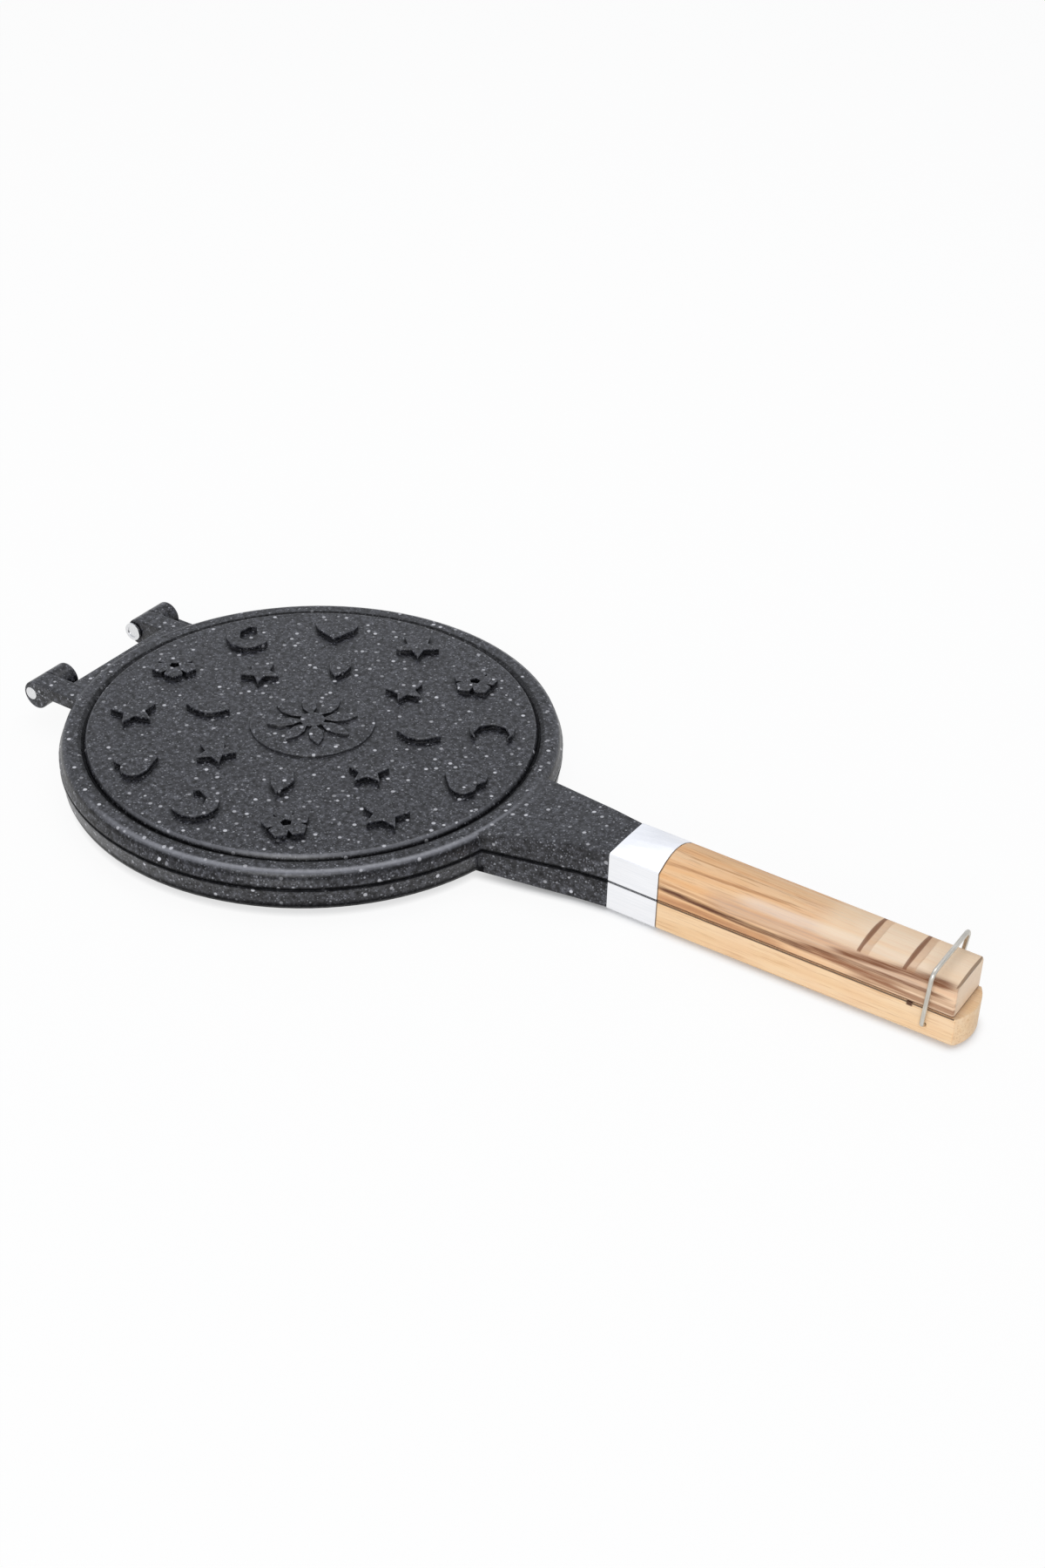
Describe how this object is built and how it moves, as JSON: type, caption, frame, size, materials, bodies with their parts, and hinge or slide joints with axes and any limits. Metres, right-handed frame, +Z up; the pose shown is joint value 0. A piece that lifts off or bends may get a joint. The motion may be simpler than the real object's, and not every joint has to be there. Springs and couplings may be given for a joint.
{
  "type": "waffle pan",
  "caption": "Round hinged waffle pan with two cast plates, wooden handle halves in metal ferrules and a wire bail that latches them.",
  "frame": {"origin": "middle of the round plates on the surface that the closed pan lies on", "axes": "+X along the handle away from the hinge, +Z up from the lower plate to the upper plate, +Y across the handle"},
  "size_m": [0.4887, 0.24, 0.0394],
  "materials": {
    "coated_casting": "speckled non-stick coating",
    "pin_steel": "turned and dished",
    "ferrule_metal": "satin",
    "pale_wood": "oiled",
    "streaked_wood": "oiled",
    "wire_steel": "drawn wire",
    "screw_steel": "zinc plated"
  },
  "bodies": {
    "base": {"lower_plate": "coated_casting", "lower_ferrule": "ferrule_metal", "lower_grip": "pale_wood", "lower_grip_screws": "screw_steel", "near_hinge_pin": "pin_steel", "far_hinge_pin": "pin_steel"},
    "lid": {"upper_plate": "coated_casting", "upper_ferrule": "ferrule_metal", "upper_grip": "streaked_wood", "upper_grip_screws": "screw_steel"},
    "bail": {"latch_bail": "wire_steel"}
  },
  "joints": [
    {"name": "lid_hinge", "type": "hinge", "parent": "base", "child": "lid", "pos_m": [-0.139, 0, 0.0163], "axis": [0, -1, 0], "range_deg": [0, 178]},
    {"name": "bail_swing", "type": "hinge", "parent": "base", "child": "bail", "pos_m": [0.3276, 0, 0.0073], "axis": [0, 1, 0], "range_deg": [-32, 95]}
  ]
}
